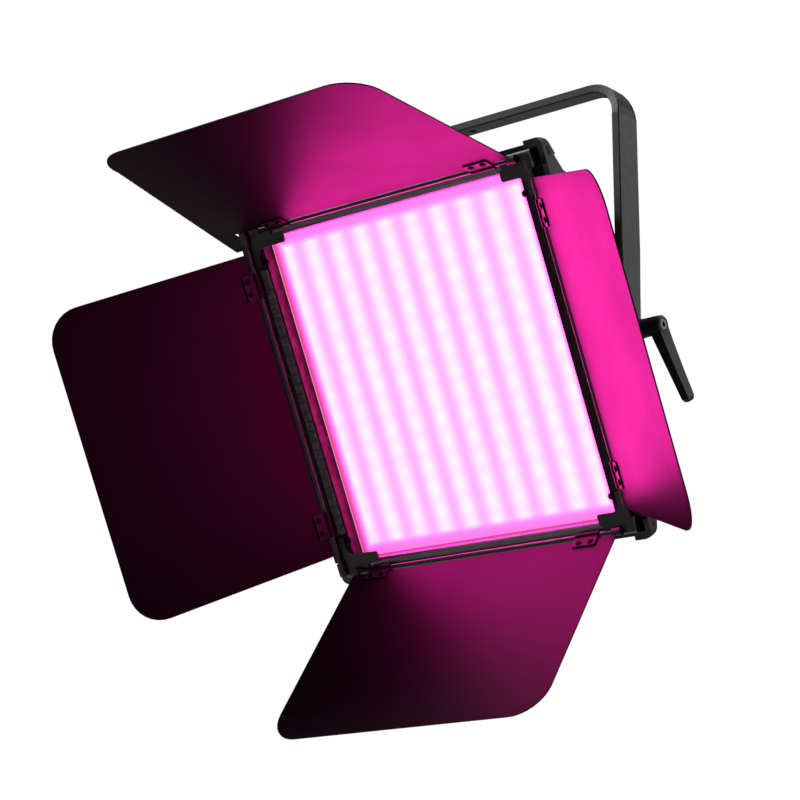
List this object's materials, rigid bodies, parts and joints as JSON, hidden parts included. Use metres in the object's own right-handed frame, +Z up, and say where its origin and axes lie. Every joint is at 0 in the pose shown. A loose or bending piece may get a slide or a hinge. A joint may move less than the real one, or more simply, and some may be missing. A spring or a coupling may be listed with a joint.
{
  "type": "led panel light",
  "caption": "Square LED panel light with four hinged barn-door leaves on rods, a tilting U yoke with a clamping lever, and rear controls.",
  "frame": {"origin": "on the upper face of the yoke top bar, at its centre between the two bolt holes", "axes": "+Z up out of the stand face, +X along the tilt axis towards the clamping lever, the light faces -Y and down"},
  "size_m": [0.5356, 0.3849, 0.5395],
  "materials": {
    "yoke_paint": "satin black powder coat",
    "leaf_paint": "matt black paint",
    "case_paint": "matt black powder coat",
    "black_plastic": "fine moulded texture",
    "bezel_metal": "dark anodised",
    "rod_steel": "black oxide",
    "zinc_steel": "black zinc",
    "raw_aluminium": "milled",
    "opal": "opal diffusing",
    "white_plastic": "satin",
    "circuit": "solder mask",
    "nylon": "smooth",
    "window": "gloss",
    "knob_rubber": "soft touch"
  },
  "bodies": {
    "yoke": {"yoke_bracket": "yoke_paint", "friction_disc_left": "nylon", "friction_disc_right": "nylon", "left_pivot_bolt": "zinc_steel"},
    "clamp": {"clamp_stud": "zinc_steel", "lever_screw": "zinc_steel"},
    "lever": {"lever_handle": "black_plastic"},
    "head": {"back_cover": "case_paint", "bezel_rail_bottom": "bezel_metal", "bezel_rail_left": "bezel_metal", "bezel_rail_right": "bezel_metal", "bezel_rail_top": "bezel_metal", "control_plate": "black_plastic", "corner_bumper_bottom_left": "black_plastic", "corner_bumper_bottom_right": "black_plastic", "corner_bumper_top_left": "black_plastic", "corner_bumper_top_right": "black_plastic", "data_port": "zinc_steel", "diffuser": "opal", "display_window": "window", "door_bracket_bottom_left": "black_plastic", "door_bracket_bottom_right": "black_plastic", "door_bracket_top_left": "black_plastic", "door_bracket_top_right": "black_plastic", "door_rod_bottom": "rod_steel", "door_rod_left": "rod_steel", "door_rod_right": "rod_steel", "door_rod_top": "rod_steel", "driver_board": "circuit", "heat_sink": "raw_aluminium", "housing_shell": "case_paint", "led_board": "circuit", "pivot_boss_left": "black_plastic", "pivot_boss_right": "black_plastic", "power_inlet": "black_plastic", "reflector_tray": "white_plastic"},
    "door_top": {"leaf_top": "leaf_paint", "leaf_clip_top_1": "zinc_steel", "leaf_clip_top_2": "zinc_steel"},
    "door_bottom": {"leaf_bottom": "leaf_paint", "leaf_clip_bottom_1": "zinc_steel", "leaf_clip_bottom_2": "zinc_steel"},
    "door_left": {"leaf_left": "leaf_paint", "leaf_clip_left_1": "zinc_steel", "leaf_clip_left_2": "zinc_steel"},
    "door_right": {"leaf_right": "leaf_paint", "leaf_clip_right_1": "zinc_steel", "leaf_clip_right_2": "zinc_steel"},
    "brightness": {"brightness_knob": "knob_rubber"},
    "colour": {"colour_knob": "knob_rubber"},
    "button_1": {"push_button_1": "knob_rubber"},
    "button_2": {"push_button_2": "knob_rubber"},
    "button_3": {"push_button_3": "knob_rubber"},
    "rocker": {"power_rocker": "black_plastic"}
  },
  "joints": [
    {"name": "head_tilt", "type": "hinge", "parent": "yoke", "child": "head", "pos_m": [0, 0, -0.221], "axis": [1, 0, 0], "range_deg": [-26.5, 33.5]},
    {"name": "door_top_swing", "type": "hinge", "parent": "head", "child": "door_top", "pos_m": [0, -0.11292, -0.0974], "axis": [-1, 0, 0], "range_deg": [-28.5, 53.5]},
    {"name": "door_right_swing", "type": "hinge", "parent": "head", "child": "door_right", "pos_m": [0.153, -0.04286, -0.2379], "axis": [0, -0.4462, 0.8949], "range_deg": [-91, 44]},
    {"name": "door_bottom_swing", "type": "hinge", "parent": "head", "child": "door_bottom", "pos_m": [0, 0.02719, -0.3784], "axis": [1, 0, 0], "range_deg": [-28, 72]},
    {"name": "door_left_swing", "type": "hinge", "parent": "head", "child": "door_left", "pos_m": [-0.153, -0.04286, -0.2379], "axis": [0, 0.4462, -0.8949], "range_deg": [-71, 64]},
    {"name": "clamp_turn", "type": "hinge", "parent": "yoke", "child": "clamp", "pos_m": [0, 0, -0.221], "axis": [1, 0, 0], "range_deg": [0, 120]},
    {"name": "lever_lift", "type": "slide", "parent": "clamp", "child": "lever", "axis": [1, 0, 0], "range_m": [0, 0.004], "stiffness_N_per_m": 500, "springref_m": -0.002},
    {"name": "brightness_turn", "type": "hinge", "parent": "head", "child": "brightness", "pos_m": [-0.004, 0.06559, -0.27322], "axis": [0, 0.8949, 0.4462], "continuous": true},
    {"name": "colour_turn", "type": "hinge", "parent": "head", "child": "colour", "pos_m": [0.026, 0.06559, -0.27322], "axis": [0, 0.8949, 0.4462], "continuous": true},
    {"name": "button_1_press", "type": "slide", "parent": "head", "child": "button_1", "axis": [0, -0.8949, -0.4462], "range_m": [0, 0.001], "stiffness_N_per_m": 400, "springref_m": -0.001},
    {"name": "button_2_press", "type": "slide", "parent": "head", "child": "button_2", "axis": [0, -0.8949, -0.4462], "range_m": [0, 0.001], "stiffness_N_per_m": 400, "springref_m": -0.001},
    {"name": "button_3_press", "type": "slide", "parent": "head", "child": "button_3", "axis": [0, -0.8949, -0.4462], "range_m": [0, 0.001], "stiffness_N_per_m": 400, "springref_m": -0.001},
    {"name": "rocker_tip", "type": "hinge", "parent": "head", "child": "rocker", "pos_m": [0.05, 0.06183, -0.27733], "axis": [1, 0, 0], "range_deg": [-7, 7]}
  ]
}
